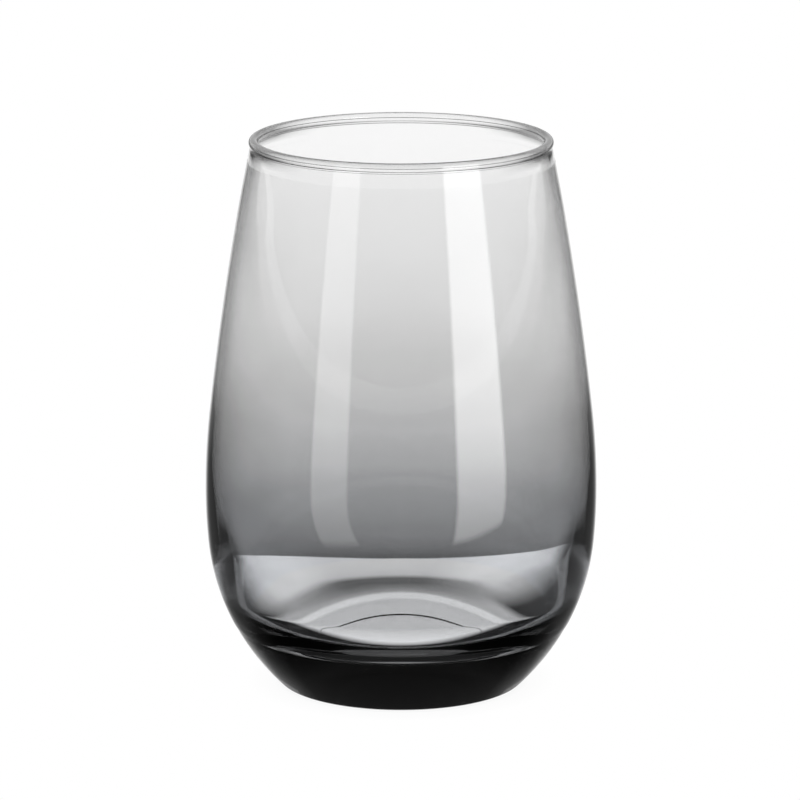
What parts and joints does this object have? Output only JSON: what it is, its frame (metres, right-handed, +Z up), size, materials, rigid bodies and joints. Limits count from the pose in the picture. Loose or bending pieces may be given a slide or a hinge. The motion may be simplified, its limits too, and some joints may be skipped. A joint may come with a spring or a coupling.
{
  "type": "drinking glass",
  "caption": "Round-bellied drinking tumbler with a tapering wall, a beaded rim, a heavy flat base and a smoke-grey film that fades out towards the rim",
  "frame": {"origin": "on the table, at the middle of the foot", "axes": "+Z up the glass's axis of revolution, from the foot to the rim; +X to the right and +Y away from the viewer of the picture"},
  "size_m": [0.085, 0.085, 0.12],
  "materials": {
    "clear_glass": "fire-polished clear soda-lime glass",
    "smoke_lacquer": "glossy see-through smoke-grey lacquer, darkest just above the clear base and fading out towards the rim"
  },
  "bodies": {
    "root": {"glass_body": "clear_glass", "smoke_coat": "smoke_lacquer"}
  },
  "joints": []
}
